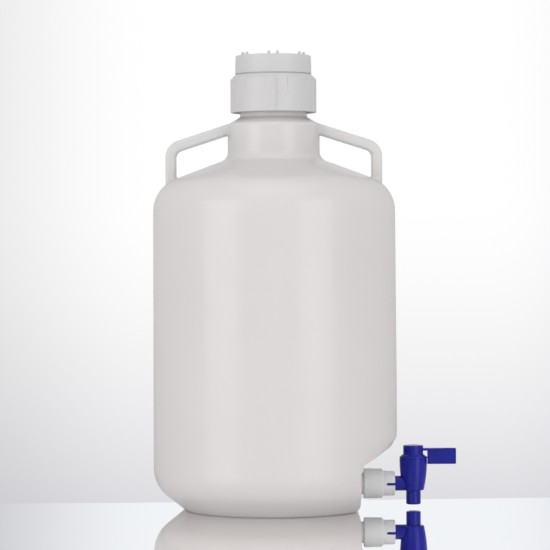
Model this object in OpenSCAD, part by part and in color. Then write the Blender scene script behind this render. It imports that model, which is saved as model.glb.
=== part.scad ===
// Twenty litre plastic carboy with two lifting handles, a screw closure and a lever tap.
// Millimetres, +Z up. The origin is on the bottle's axis at the floor, and the tap looks along +X.

/* [Body of the bottle] */
// Outer diameter of the body above its heel
body_d = 285.2; // [274:0.2:296]
// Narrowing of the body at its shoulder, on each side
body_taper = 1.5; // [0:0.1:3]
// Thickness of the moulded wall
wall = 3.6; // [2.8:0.1:4.4]
// Height of the corner that the bend between wall and shoulder rounds off
shoulder_z = 376; // [340:1:410]
// Radius of the bend between wall and shoulder
shoulder_bend = 41; // [30:1:46]
// Slope of the shoulder, in degrees
shoulder_slope = 20.5; // [16:0.5:24]
// Radius of the bend between wall and heel
heel_bend = 40; // [25:1:44]
// Slope of the heel above the floor, in degrees
heel_slope = 39; // [35:1:44]
// Diameter over the ring that the bottle stands on
foot_d = 212; // [204:1:220]
// Width of the ring that the bottle stands on
foot_w = 16; // [12:1:24]
// Height of the hollow under the base
push_up = 5; // [3:0.5:8]

/* [Collar and neck] */
// Diameter of the collar between shoulder and neck
collar_d = 107.2; // [100:0.2:116]
// Height of the collar above the corner where it meets the shoulder
collar_h = 40; // [36:0.5:50]
// Slope of the collar's top, in degrees
collar_slope = 30.4; // [25:0.2:36]
// Radius of the bend between shoulder and collar
collar_bend = 12; // [6:1:18]
// Root diameter of the threaded neck
neck_d = 78.2; // [74:0.2:84]
// Height of the neck above the collar's top
neck_h = 41; // [38:0.5:48]
// Radial height of the neck's thread
thread_depth = 2.4; // [1.6:0.1:2.8]
// Rise of the neck's thread in one turn
thread_lead = 6; // [5:0.5:8]
// Turns of thread on the neck
thread_turns = 2; // [1.25:0.25:2.5]

/* [Handles] */
// Width of a handle, across the pull
handle_w = 26; // [18:1:34]
// Thickness of a handle's bar and leg
handle_t = 11.8; // [9:0.1:16]
// Distance from the body's wall at the shoulder in to the outside of a handle's leg
handle_inset = 14.9; // [8:0.1:24]
// Slope of a handle's bar, in degrees
handle_slope = 17.9; // [12:0.1:24]
// Outer radius of a handle's corner
handle_bend = 20; // [15:1:26]
// Drop of the bar's top edge below the collar's edge
handle_drop = 0; // [-1:0.2:4]

/* [Closure] */
// Outer diameter of the ribbed ring
ring_d = 100.2; // [97:0.2:106]
// Height of the ribbed ring
ring_h = 43.8; // [41:0.2:50]
// Depth of the long grooves between the ring's grips
groove_depth = 1.4; // [0.6:0.1:1.8]
// Width of the long grooves between the ring's grips
groove_w = 2.2; // [1:0.1:4]
// Diameter of the lid's crown at its foot
crown_d = 89; // [88:0.2:92]
// Height of the lid's crown
crown_h = 21.2; // [14:0.2:30]
// Gap between the ring and the crown
crown_gap = 1.4; // [0.6:0.1:3]
// Thickness of the lid's walls
lid_wall = 2.8; // [2:0.1:3.4]
// Thickness of the lid's gasket
gasket_t = 2; // [1:0.1:3]
// Radius of the circle that the pairs of nubs stand on
nub_ring_r = 38; // [24:0.5:40]
// Distance between the two nubs of a pair
nub_pitch = 9.8; // [6:0.2:14]
// Diameter of a nub
nub_d = 3.4; // [2:0.1:5]
// Height of a nub
nub_h = 3.8; // [2:0.1:6]

/* [Recess and outlet] */
// Depth of the flat for the outlet, in from the body's wall
recess_depth = 45.4; // [40:0.2:50]
// Height of the corner between the flat and the recess's ceiling
recess_h = 56.6; // [52:0.2:64]
// Slope of the recess's ceiling, in degrees
recess_slope = 27.7; // [22:0.1:34]
// Height of the outlet's axis above the floor
outlet_z = 28.6; // [28:0.1:32]
// Diameter of the passage through outlet, tap and spout
passage_d = 10; // [8:0.5:11]
// Diameter of the outlet's threaded boss under its thread
boss_d = 22.4; // [20:0.2:24]
// Diameter of the grey gasket behind the nut
outlet_gasket_d = 25.2; // [24.8:0.2:28]
// Thickness of the grey gasket behind the nut
outlet_gasket_t = 5.6; // [4:0.2:9]

/* [Outlet nut] */
// Diameter of the nut over its threaded part
nut_d = 35; // [32:0.2:38]
// Length of the nut's threaded part
nut_thread_l = 21.1; // [17:0.1:24]
// Diameter of the nut's socket for the tap
nut_socket_d = 28.8; // [27:0.2:31]
// Length of the nut's socket behind the step
nut_socket_l = 13.1; // [12:0.1:16]
// Width of the two slots in the socket
slot_w = 3.2; // [2:0.1:4]
// Length of the two slots in the socket
slot_l = 9.9; // [7:0.1:11]

/* [Tap] */
// Diameter of the tap's inlet stem
stem_d = 17.6; // [16.4:0.1:18.4]
// Distance from the nut's end to the axis of the plug
stem_reach = 21.8; // [18:0.2:26]
// Largest diameter of the barrel
barrel_d = 32.2; // [30.6:0.1:34]
// Height of the barrel's top above the outlet's axis
barrel_rise = 28.9; // [26:0.1:34]
// Radius of the barrel's swelling side
barrel_side_r = 152; // [120:1:400]
// Height of the barrel's floor below the outlet's axis
barrel_drop = 8; // [7:0.1:9]
// Diameter of the spout
spout_d = 17.1; // [15.5:0.1:18]
// Height of the spout's end above the floor
spout_z = 4.2; // [3:0.1:8]
// Diameter of the plug at the barrel's top
plug_top_d = 24; // [22:0.1:26]
// Diameter of the plug at its foot
plug_foot_d = 18.6; // [16.4:0.1:19.4]
// Gap between the tapered plug and the barrel
plug_gap = 0.08; // [0.04:0.01:0.1]

/* [Lever] */
// Diameter of the lever's head
head_d = 23.4; // [21:0.1:26]
// Height of the lever's head above its flange
head_h = 10.5; // [8:0.1:14]
// Height of the flange's rim
flange_h = 1.8; // [1:0.1:4]
// Height of the cone between the flange and the head
flange_cone_h = 3; // [2:0.1:4]
// Length of the flag from the plug's axis
lever_reach = 50; // [40:0.1:70]
// Height of the flag
flag_h = 18.7; // [15:0.1:24]
// Thickness of the flag's plate
flag_t = 3; // [2:0.1:5]
// Width of the bar along the flag's top
bar_w = 8.4; // [5:0.1:12]
// Height of the bar along the flag's top
bar_h = 2.9; // [2:0.1:4]
// Distance from the flag's end back to the end of its bar
bar_setback = 15; // [8:1:20]

/* [Clearances] */
// Gap between pieces that move past each other
run_gap = 0.3; // [0.2:0.05:0.4]
// Gap between pieces that slide together and stay
slip_gap = 0.15; // [0.1:0.01:0.2]
// Radial gap between the tips and roots of mating threads
thread_gap = 0.7; // [0.5:0.05:0.8]

/* [Hidden] */
$fn = 96;

arc_step = 6;       // degrees between the points of a rounded corner
thread_step = 12;   // degrees between the sections of a thread
sink = 0.4;         // how far a thread's root reaches into its wall
over = 1;           // how far a cutter reaches past what it cuts

milky = [0.86, 0.85, 0.84];
milky_handle = [0.80, 0.81, 0.80];
white = [0.90, 0.90, 0.91];
grey_rubber = [0.45, 0.45, 0.47];
blue = [0.13, 0.15, 0.60];
black_rubber = [0.10, 0.10, 0.11];

// Body of the bottle
body_r = body_d / 2;
shoulder_r = body_r - body_taper;
foot_r = foot_d / 2;
foot_edge_bend = 5;
push_up_run = 8;
heel_z = (body_r - foot_r) * tan(heel_slope);
collar_r = collar_d / 2;
collar_foot_z = shoulder_z + (shoulder_r - collar_r) * tan(shoulder_slope);
collar_z = collar_foot_z + collar_h;
collar_edge_bend = 5;
neck_r = neck_d / 2;
neck_foot_z = collar_z + (collar_r - neck_r) * tan(collar_slope);
neck_foot_bend = 1.5;
rim_z = neck_foot_z + neck_h;

// Threads of neck and ring
tooth_root = 1.4;                 // half the width of a thread's root
tooth_tip = 0.7;                  // half the width of a thread's tip
thread_fade = 30;                 // degrees over which a thread's ends run out
neck_thread_top = rim_z - 8;      // middle of the neck's thread where it ends
neck_thread_z = neck_thread_top - thread_lead * thread_turns;
ring_bore_r = neck_r + thread_depth + thread_gap;
ring_tooth_r = neck_r + thread_gap;

// Closure
lip_t = 3;                        // thickness of the ring's inward lip
snap_t = 2.7;                     // thickness of the lid's flange under the lip
ring_z = rim_z + gasket_t + snap_t + run_gap + lip_t - ring_h;
ring_top = ring_z + ring_h;
ring_r = ring_d / 2;
crown_r = crown_d / 2;
crown_draft = 0.6;
waist_r = crown_r - 1.6;
lip_r = waist_r + run_gap;
snap_r = crown_r - 0.1;
snap_room_r = snap_r + 2 * run_gap;
snap_lead = 0.8;                  // bevel that leads the flange past the lip
lid_z = rim_z + gasket_t;
snap_top = lid_z + snap_t;
crown_z = ring_top + crown_gap;
crown_top = crown_z + crown_h;
crown_edge = 1;
gasket_in_r = neck_r - wall - 1;
gasket_out_r = neck_r + 2;
grip_turn = 4.4;                  // where the first long groove lies, in degrees from the front
grip_period = 60;                 // degrees between the long grooves
short_turn = 15;                  // degrees from a long groove to the short ones beside it
short_groove_depth = 0.9;
short_groove_w = 1.5;
short_groove_l = 26;
ring_chamfer_w = 5.2;
ring_chamfer_h = 5.4;
ring_foot_chamfer = 0.8;
pocket_in_r = ring_bore_r + 2.4;
pocket_out_r = ring_r - groove_depth - 1.6;
pocket_h = ring_h - 12;
pocket_webs = 12;
pocket_web_t = 2;
nub_pairs = 6;

// Handles
handle_out_r = shoulder_r - handle_inset;
bar_edge_z = collar_z - handle_drop;   // top edge of the bar where it meets the collar
handle_corner_z = bar_edge_z - (handle_out_r - collar_r) * tan(handle_slope);
handle_inner_bend = handle_bend - handle_t + 2;
handle_foot_flare = 3;

// Recess and outlet
flat_x = body_r - recess_depth;
recess_out_x = body_r + 0.4;
recess_top_z = recess_h + (recess_out_x - flat_x) * tan(recess_slope);
recess_corner_bend = 8;
recess_top_bend = 14;
recess_heel = 4.8;                // how far the recess's heel draws in, and its height
recess_heel_bend = 9;
passage_r = passage_d / 2;
boss_r = boss_d / 2;
boss_tooth = 1.1;
boss_lead = 3;
boss_turns = 3;
boss_gap = 0.25;
boss_bore_r = boss_r - 4.6;
nut_x = flat_x + outlet_gasket_t;
nut_step_l = 2.2;
nut_l = nut_thread_l + nut_step_l + nut_socket_l;
nut_draft = 0.4;
nut_web_t = 3;
nut_bore_r = boss_r + boss_tooth + boss_gap;
nut_thread_depth = nut_thread_l - 4.7;
boss_end_x = nut_x + nut_thread_depth - 0.5;
nut_end_x = nut_x + nut_l;
nut_edge = 1;

// Tap
stem_r = stem_d / 2;
socket_r = stem_r + slip_gap;
socket_x = nut_x + nut_thread_depth + nut_web_t;
stem_x = socket_x + 0.5;
key_t = slot_w - 2 * run_gap;
key_r = nut_socket_d / 2 - 2;
key_x = nut_end_x - slot_l + 2;
stem_seal_groove = 1.45;
stem_seal_r = (stem_seal_groove + slip_gap) / 2 - 0.01;
stem_seal_xs = [stem_x + 2, stem_x + 5.4];
tap_x = nut_end_x + stem_reach;
barrel_r = barrel_d / 2;
barrel_top = outlet_z + barrel_rise;
barrel_floor = outlet_z - barrel_drop;
barrel_bend = 1.5;
barrel_side_z = barrel_top - 2;         // the side is upright here and curves in below
spout_r = spout_d / 2;
spout_edge = 0.8;
bore_foot = barrel_floor + 1.2;
bore_top_r = plug_top_d / 2;
bore_foot_r = plug_foot_d / 2;
bead_h = 1.6;
bead = 0.6;
bead_z = barrel_top - 4.5;
plug_foot = bore_foot + run_gap;
plug_hollow_top = outlet_z + passage_r + 1.5;
shaft_af = 12;                          // width across the flats of the plug's square shaft
shaft_top = barrel_top + 10;
plug_seal_groove = 1.3;
plug_seal_r = (plug_seal_groove + plug_gap) / 2 - 0.015;
plug_seal_room = 0.1;
plug_seal_zs = [outlet_z + 9.6, outlet_z + 16.2];

// Lever
flange_z = barrel_top + run_gap;
flange_r = barrel_r - 0.1;
flange_top = flange_z + flange_h;
head_r = head_d / 2;
head_z = flange_top + flange_cone_h;
head_top = head_z + head_h;
head_dome = 0.9;
flag_x = barrel_r + 0.4;                // inner edge of the flag, from the plug's axis
flag_top = head_top - 3.4;
flag_z = flag_top - flag_h;
rim_t = 0.6;                            // how far the flag's rim stands proud of its plate
rim_w = 1.4;
flag_bend = 1.5;                        // radius of the flag's outer corners
bar_end_h = 1.2;                        // height of the bar at its end

// Direction from a to b
function heading(a, b) = (b - a) / norm(b - a);

// The direction square to d, on its left
function left_of(d) = [-d[1], d[0]];

// v turned by an angle
function spun(v, angle) = [
    v[0] * cos(angle) - v[1] * sin(angle),
    v[0] * sin(angle) + v[1] * cos(angle)
];

// How far a path turns from direction d1 to d2, positive to the left
function turn_of(d1, d2) = atan2(d1[0] * d2[1] - d1[1] * d2[0], d1 * d2);

// A corner after both its legs have moved to the left by inset
function moved_corner(p, d1, d2, inset) =
    p + inset * (left_of(d1) + left_of(d2)) / (1 + left_of(d1) * left_of(d2));

// The points of an arc of radius r that rounds off the corner p
function corner_arc(p, d1, d2, r) =
    let (
        turn = turn_of(d1, d2),
        start = p - r * tan(abs(turn) / 2) * d1,
        centre = start + sign(turn) * r * left_of(d1),
        steps = max(1, ceil(abs(turn) / arc_step))
    )
    r <= 0 ? [p] : [for (i = [0:steps]) centre + spun(start - centre, turn * i / steps)];

// A path through corners [x, y, radius], moved to the left by inset with its arcs kept round
function rounded_path(corners, inset = 0) =
    let (
        last = len(corners) - 1,
        at = [for (c = corners) [c[0], c[1]]],
        way = [for (i = [0:last - 1]) heading(at[i], at[i + 1])]
    )
    [
        at[0] + inset * left_of(way[0]),
        for (i = [1:last - 1])
            each corner_arc(
                moved_corner(at[i], way[i - 1], way[i], inset),
                way[i - 1],
                way[i],
                corners[i][2] - inset * sign(turn_of(way[i - 1], way[i]))
            ),
        at[last] + inset * left_of(way[last - 1])
    ];

// Half the outline of the bottle from the middle of its base to a height above the collar
function bottle_corners(top) = [
    [0, push_up, 0],
    [foot_r - foot_w - push_up_run, push_up, 5],
    [foot_r - foot_w, 0, 3],
    [foot_r, 0, foot_edge_bend],
    [body_r, heel_z, heel_bend],
    [shoulder_r, shoulder_z, shoulder_bend],
    [collar_r, collar_foot_z, collar_bend],
    [collar_r, collar_z, collar_edge_bend],
    [neck_r, neck_foot_z, neck_foot_bend],
    [neck_r, top, 0]
];

// The recess's outline from under the floor, up the flat and out along the ceiling
recess_corners = [
    [flat_x - recess_heel - over, -over, 0],
    [flat_x, recess_heel, recess_heel_bend],
    [flat_x, recess_h, recess_corner_bend],
    [recess_out_x, recess_top_z, recess_top_bend],
    [recess_out_x, recess_top_z + 40, 0]
];

// Radius of the tapered bore at height z
function bore_r(z) =
    bore_foot_r + (bore_top_r - bore_foot_r) * (z - bore_foot) / (barrel_top - bore_foot);

// Radius of the plug at height z
function plug_r(z) = bore_r(z) - plug_gap;

// Radius of the barrel's swelling side at height z
function side_r(z) =
    barrel_r - barrel_side_r + sqrt(barrel_side_r ^ 2 - max(0, barrel_side_z - z) ^ 2);

// Puts what stands on the floor's middle along +X at distance x, at the outlet's height
module along_x(x) {
    translate([x, 0, outlet_z]) rotate([0, 90, 0]) children();
}

// Everything outside the recess's outline, moved into the bottle by inset
module recess_space(inset) {
    path = rounded_path(recess_corners, inset);
    far_x = body_r + 20;
    rotate([90, 0, 0])
        translate([0, 0, -body_r - over])
            linear_extrude(2 * (body_r + over))
                polygon(concat(path, [
                    [far_x, path[len(path) - 1][1]],
                    [far_x, path[0][1]]
                ]));
}

// The bottle's solid shape with no cavity, as a sealed blank
module bottle_blank(inset, top) {
    difference() {
        rotate_extrude()
            polygon(concat(rounded_path(bottle_corners(top), inset), [[0, top]]));
        recess_space(inset);
    }
}

// A right-handed ridge: its root lies at root_r and its tip at tip_r, inside or outside
module thread_ridge(root_r, tip_r, lead, turns, root_half, tip_half) {
    out = sign(tip_r - root_r);
    steps = ceil(turns * 360 / thread_step);
    rings = [
        for (i = [0:steps])
            let (
                angle = turns * 360 * i / steps,
                ends = min(angle, turns * 360 - angle),
                grow = min(1, 0.15 + ends / thread_fade),
                z = lead * angle / 360,
                tip = root_r + (tip_r - root_r) * grow,
                deep = root_r - out * sink,
                section = [
                    [deep, z - root_half],
                    [tip, z - tip_half],
                    [tip, z + tip_half],
                    [deep, z + root_half]
                ]
            )
            [for (p = section) [p[0] * cos(angle), p[0] * sin(angle), p[1]]]
    ];
    sides = [
        for (i = [0:steps - 1])
            for (k = [0:3])
                let (
                    a = 4 * i + k,
                    b = 4 * i + (k + 1) % 4,
                    c = b + 4,
                    d = a + 4
                )
                each out > 0 ? [[a, c, d], [a, b, c]] : [[a, d, c], [a, c, b]]
    ];
    first = out > 0 ? [[2, 1, 0], [3, 2, 0]] : [[0, 1, 2], [0, 2, 3]];
    base = 4 * steps;
    last = out > 0
        ? [[base, base + 1, base + 2], [base, base + 2, base + 3]]
        : [[base + 2, base + 1, base], [base + 3, base + 2, base]];
    polyhedron(points = [for (r = rings) each r], faces = concat(sides, first, last));
}

// Blow-moulded shell with its threaded neck and threaded outlet
module bottle() {
    color(milky) {
        difference() {
            union() {
                bottle_blank(0, rim_z);
                along_x(flat_x - wall / 2) cylinder(r = boss_r, h = boss_end_x - flat_x + wall / 2);
            }
            bottle_blank(wall, rim_z + over);
            along_x(flat_x - wall - over)
                cylinder(r = boss_bore_r, h = boss_end_x - flat_x + wall + 2 * over);
        }
        translate([0, 0, neck_thread_z])
            thread_ridge(neck_r, neck_r + thread_depth, thread_lead, thread_turns, tooth_root, tooth_tip);
        along_x(boss_end_x - 1 - boss_lead * boss_turns)
            thread_ridge(boss_r, boss_r + boss_tooth, boss_lead, boss_turns, 0.8, 0.35);
    }
}

// One lifting handle on the +X side: a leg on the shoulder and a bar to the collar
module handle() {
    inner_r = handle_out_r - handle_t;
    bar_run = handle_out_r - neck_r;
    lower_z = handle_corner_z - handle_t * (1 - sin(handle_slope)) / cos(handle_slope);
    foot_z = shoulder_z - shoulder_bend;
    outline = concat(
        rounded_path([
            [neck_r, handle_corner_z + bar_run * tan(handle_slope), 0],
            [handle_out_r, handle_corner_z, handle_bend],
            [handle_out_r, foot_z, 0]
        ]),
        rounded_path([
            [inner_r - handle_foot_flare, foot_z, 0],
            [inner_r - handle_foot_flare, shoulder_cone_z(inner_r - handle_foot_flare), 0],
            [inner_r, shoulder_cone_z(inner_r) + handle_foot_flare, handle_foot_flare],
            [inner_r, lower_z, handle_inner_bend],
            [neck_r, lower_z + (inner_r - neck_r) * tan(handle_slope), 0]
        ])
    );
    color(milky_handle)
        difference() {
            rotate([90, 0, 0])
                translate([0, 0, -handle_w / 2])
                    linear_extrude(handle_w)
                        polygon(outline);
            bottle_blank(0, rim_z);
        }
}

// Height of the shoulder's cone at radius r
function shoulder_cone_z(r) = shoulder_z + (shoulder_r - r) * tan(shoulder_slope);

module right_handle() {
    handle();
}

module left_handle() {
    mirror([1, 0, 0]) handle();
}

// One upright groove in the ring's outside, at a turn from the front
module grip_groove(turn, width, depth, length) {
    rotate([0, 0, turn - 90])
        translate([ring_r - depth, -width / 2, ring_top - length])
            cube([depth + over, width, length + over]);
}

// The hollow between the ring's threaded wall and its grips, open below
module ring_pocket() {
    difference() {
        translate([0, 0, ring_z - over]) cylinder(r = pocket_out_r, h = pocket_h + over);
        translate([0, 0, ring_z - 2 * over]) cylinder(r = pocket_in_r, h = pocket_h + 4 * over);
        for (i = [0:pocket_webs - 1])
            rotate([0, 0, i * 360 / pocket_webs])
                translate([0, -pocket_web_t / 2, ring_z])
                    cube([ring_r, pocket_web_t, pocket_h + over]);
    }
}

// Ribbed ring that screws onto the neck and pulls the lid down by its lip
module closure_ring() {
    color(white) {
        difference() {
            rotate_extrude()
                polygon([
                    [ring_bore_r + ring_foot_chamfer, ring_z],
                    [ring_r - ring_foot_chamfer, ring_z],
                    [ring_r, ring_z + ring_foot_chamfer],
                    [ring_r, ring_top - ring_chamfer_h],
                    [ring_r - ring_chamfer_w, ring_top],
                    [lip_r, ring_top],
                    [lip_r, ring_top - lip_t],
                    [snap_room_r, ring_top - lip_t],
                    [snap_room_r, lid_z - run_gap],
                    [ring_bore_r, lid_z - run_gap - (snap_room_r - ring_bore_r)],
                    [ring_bore_r, ring_z + ring_foot_chamfer]
                ]);
            ring_pocket();
            for (i = [0:360 / grip_period - 1]) {
                grip_groove(grip_turn + i * grip_period, groove_w, groove_depth, ring_h + over);
                for (side = [-1, 1])
                    grip_groove(
                        grip_turn + i * grip_period + side * short_turn,
                        short_groove_w,
                        short_groove_depth,
                        short_groove_l
                    );
            }
        }
        translate([0, 0, neck_thread_z - thread_lead / 2])
            thread_ridge(ring_bore_r, ring_tooth_r, thread_lead, thread_turns, tooth_root, tooth_tip);
    }
}

// One nub with a domed top
module nub() {
    r = nub_d / 2;
    translate([0, 0, -sink]) cylinder(r = r, h = nub_h - r + sink, $fn = 24);
    translate([0, 0, nub_h - r]) sphere(r = r, $fn = 24);
}

// Lid with a hollow crown, snapped into the ring's lip
module closure_lid() {
    inner_r = waist_r - lid_wall;
    color(white) {
        rotate_extrude()
            polygon([
                [gasket_in_r, lid_z],
                [snap_r - snap_lead, lid_z],
                [snap_r, lid_z + snap_lead],
                [snap_r, snap_top],
                [waist_r, snap_top],
                [waist_r, crown_z],
                [crown_r, crown_z],
                [crown_r - crown_draft, crown_top - crown_edge],
                [crown_r - crown_draft - crown_edge, crown_top],
                [0, crown_top],
                [0, crown_top - lid_wall],
                [crown_r - crown_draft - lid_wall, crown_top - lid_wall],
                [crown_r - lid_wall, crown_z + lid_wall],
                [inner_r, crown_z],
                [inner_r, snap_top],
                [gasket_in_r, snap_top]
            ]);
        for (i = [0:nub_pairs - 1])
            rotate([0, 0, i * 360 / nub_pairs - 90])
                for (side = [-1, 1])
                    translate([nub_ring_r, side * nub_pitch / 2, crown_top]) nub();
    }
}

// Flat ring between the neck's rim and the lid
module lid_gasket() {
    color(milky)
        difference() {
            translate([0, 0, rim_z]) cylinder(r = gasket_out_r, h = gasket_t);
            translate([0, 0, rim_z - over]) cylinder(r = gasket_in_r, h = gasket_t + 2 * over);
        }
}

// Thick rubber ring between the bottle's flat and the nut
module outlet_gasket() {
    color(grey_rubber)
        difference() {
            along_x(flat_x) cylinder(r = outlet_gasket_d / 2, h = outlet_gasket_t);
            along_x(flat_x - over) cylinder(r = boss_r + slip_gap, h = outlet_gasket_t + 2 * over);
        }
}

// White nut on the outlet, with a slotted socket that holds the tap's stem
module outlet_nut() {
    nut_r = nut_d / 2;
    end_r = nut_socket_d / 2;
    slot_x = nut_end_x - slot_l + slot_w / 2;
    color(white) {
        difference() {
            along_x(nut_x)
                rotate_extrude()
                    polygon([
                        [0, 0],
                        [nut_r - nut_edge, 0],
                        [nut_r, nut_edge],
                        [nut_r - nut_draft, nut_thread_l],
                        [end_r, nut_thread_l + nut_step_l],
                        [end_r, nut_l - nut_edge],
                        [end_r - nut_edge, nut_l],
                        [0, nut_l]
                    ]);
            along_x(nut_x - over) cylinder(r = nut_bore_r, h = nut_thread_depth + over);
            along_x(nut_x) cylinder(r = boss_bore_r, h = nut_l);
            along_x(socket_x) cylinder(r = socket_r, h = nut_end_x - socket_x + over);
            translate([slot_x, nut_r, outlet_z]) rotate([90, 0, 0]) cylinder(d = slot_w, h = nut_d);
            translate([slot_x, -nut_r, outlet_z - slot_w / 2]) cube([slot_l + over, nut_d, slot_w]);
        }
        along_x(boss_end_x - 1 - boss_lead * (boss_turns + 0.5))
            thread_ridge(nut_bore_r, boss_r + boss_gap, boss_lead, boss_turns, 0.8, 0.35);
    }
}

// Groove for a round seal: a tube of width w between radii a and b
module seal_groove(a, b, w) {
    difference() {
        translate([0, 0, -w / 2]) cylinder(r = b, h = w);
        translate([0, 0, -w]) cylinder(r = a, h = 2 * w);
    }
}

// Outline of the barrel and the spout, right of the plug's axis
barrel_side_foot = barrel_floor + 3 * barrel_bend;
barrel_steps = 10;
barrel_outline = concat(
    [
        [0, spout_z],
        [spout_r - spout_edge, spout_z],
        [spout_r, spout_z + spout_edge]
    ],
    rounded_path([
        [spout_r, spout_z + 2 * spout_edge, 0],
        [spout_r, barrel_floor, 0.9],
        [side_r(barrel_floor + barrel_bend), barrel_floor, barrel_bend],
        [side_r(barrel_side_foot), barrel_side_foot, 0]
    ]),
    [
        for (i = [1:barrel_steps])
            let (z = barrel_side_foot + (barrel_side_z - barrel_side_foot) * i / barrel_steps)
            [side_r(z), z]
    ],
    [[barrel_r, barrel_top], [0, barrel_top]]
);

// Tap body: inlet stem with two keys, tapered barrel and spout
module tap_body() {
    color(blue)
        difference() {
            union() {
                translate([tap_x, 0, 0]) rotate_extrude() polygon(barrel_outline);
                along_x(stem_x) cylinder(r = stem_r, h = tap_x - stem_x);
                translate([key_x, -key_r, outlet_z - key_t / 2])
                    cube([nut_end_x - key_x - 0.4, 2 * key_r, key_t]);
            }
            translate([tap_x, 0, bore_foot])
                cylinder(
                    r1 = bore_foot_r,
                    r2 = bore_r(barrel_top + over),
                    h = barrel_top + over - bore_foot
                );
            translate([tap_x, 0, bead_z])
                cylinder(r = bore_r(bead_z) + bead + run_gap / 2, h = bead_h + run_gap);
            translate([tap_x, 0, spout_z - over]) cylinder(r = passage_r + 1, h = bore_foot);
            along_x(stem_x - over) cylinder(r = passage_r, h = tap_x - stem_x + over);
            for (x = stem_seal_xs)
                along_x(x)
                    seal_groove(
                        stem_r - stem_seal_groove,
                        stem_r + over,
                        2 * stem_seal_r + 2 * plug_seal_room
                    );
        }
}

// One round seal in the stem's grooves
module stem_seal(x) {
    color(black_rubber)
        along_x(x)
            rotate_extrude()
                translate([stem_r - stem_seal_groove + stem_seal_r, 0])
                    circle(r = stem_seal_r, $fn = 32);
}

module inner_stem_seal() {
    stem_seal(stem_seal_xs[0]);
}

module outer_stem_seal() {
    stem_seal(stem_seal_xs[1]);
}

// Tapered hollow plug: a port in its side lets the inlet into the spout
module tap_plug() {
    color(blue)
        translate([tap_x, 0, 0])
            difference() {
                union() {
                    translate([0, 0, plug_foot])
                        cylinder(
                            r1 = plug_r(plug_foot),
                            r2 = plug_r(barrel_top),
                            h = barrel_top - plug_foot
                        );
                    translate([0, 0, bead_z + run_gap / 2]) cylinder(r = plug_r(bead_z) + bead, h = bead_h);
                    translate([-shaft_af / 2, -shaft_af / 2, barrel_top - over])
                        cube([shaft_af, shaft_af, shaft_top - barrel_top + over]);
                }
                translate([0, 0, plug_foot - over])
                    cylinder(r = passage_r + 1, h = plug_hollow_top - plug_foot + over);
                translate([0, 0, outlet_z]) rotate([0, -90, 0]) cylinder(r = passage_r, h = barrel_r);
                for (z = plug_seal_zs)
                    translate([0, 0, z])
                        seal_groove(
                            plug_r(z) - plug_seal_groove,
                            barrel_r,
                            2 * plug_seal_r + 2 * plug_seal_room
                        );
            }
}

// One round seal in the plug's grooves
module plug_seal(z) {
    color(black_rubber)
        translate([tap_x, 0, z])
            rotate_extrude()
                translate([plug_r(z) - plug_seal_groove + plug_seal_r, 0])
                    circle(r = plug_seal_r, $fn = 32);
}

module lower_plug_seal() {
    plug_seal(plug_seal_zs[0]);
}

module upper_plug_seal() {
    plug_seal(plug_seal_zs[1]);
}

// A plate of thickness t in the plane of X and Z, centred on Y
module upright(t) {
    rotate([90, 0, 0]) linear_extrude(t, center = true) children();
}

// Outline of the flag, drawn in by inset from its outer edges
module flag_outline(inset) {
    polygon(rounded_path([
        [flag_x + inset, flag_z + inset, 0],
        [lever_reach - inset, flag_z + inset, max(0, flag_bend - inset)],
        [lever_reach - inset, flag_top - inset, max(0, flag_bend - inset)],
        [flag_x + inset, flag_top - inset, 0]
    ]));
}

// Lever: a head on the plug's shaft, a flange over the barrel and a flag to push
module tap_lever() {
    bar_end_x = lever_reach - bar_setback;
    color(blue)
        translate([tap_x, 0, 0])
            difference() {
                union() {
                    rotate_extrude()
                        polygon([
                            [0, flange_z],
                            [flange_r, flange_z],
                            [flange_r, flange_top],
                            [head_r + 1, head_z - 0.5],
                            [head_r, head_z + 0.5],
                            [head_r, head_top - 0.5],
                            [head_r - 0.5, head_top],
                            [head_r / 2, head_top + head_dome * 0.7],
                            [0, head_top + head_dome]
                        ]);
                    upright(flag_t) flag_outline(0);
                    upright(flag_t + 2 * rim_t)
                        difference() {
                            flag_outline(0);
                            flag_outline(rim_w);
                        }
                    upright(bar_w)
                        polygon([
                            [head_r - 2, flag_top - bar_h],
                            [flag_x + rim_w, flag_top - bar_h],
                            [bar_end_x, flag_top - bar_end_h],
                            [bar_end_x, flag_top],
                            [head_r - 2, flag_top]
                        ]);
                    upright(flag_t + 2 * rim_t)
                        polygon([
                            [flange_r - 3, flange_z],
                            [flag_x + rim_w, flange_z],
                            [flag_x + rim_w, flange_top - 0.2],
                            [flange_r - 3, flange_top - 0.2]
                        ]);
                }
                translate([-shaft_af / 2 - slip_gap, -shaft_af / 2 - slip_gap, flange_z - over])
                    cube([
                        shaft_af + 2 * slip_gap,
                        shaft_af + 2 * slip_gap,
                        shaft_top + slip_gap - flange_z + over
                    ]);
            }
}

bottle();
left_handle();
right_handle();
closure_ring();
closure_lid();
lid_gasket();
outlet_gasket();
outlet_nut();
tap_body();
inner_stem_seal();
outer_stem_seal();
tap_plug();
lower_plug_seal();
upper_plug_seal();
tap_lever();
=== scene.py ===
"""Twenty litre carboy: a milky moulded bottle with handles, a screw closure and a lever tap."""

import math

import bmesh
import bpy
import numpy as np
from bpy.props import FloatProperty, FloatVectorProperty, IntProperty, PointerProperty
from mathutils import Matrix, Vector


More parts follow.
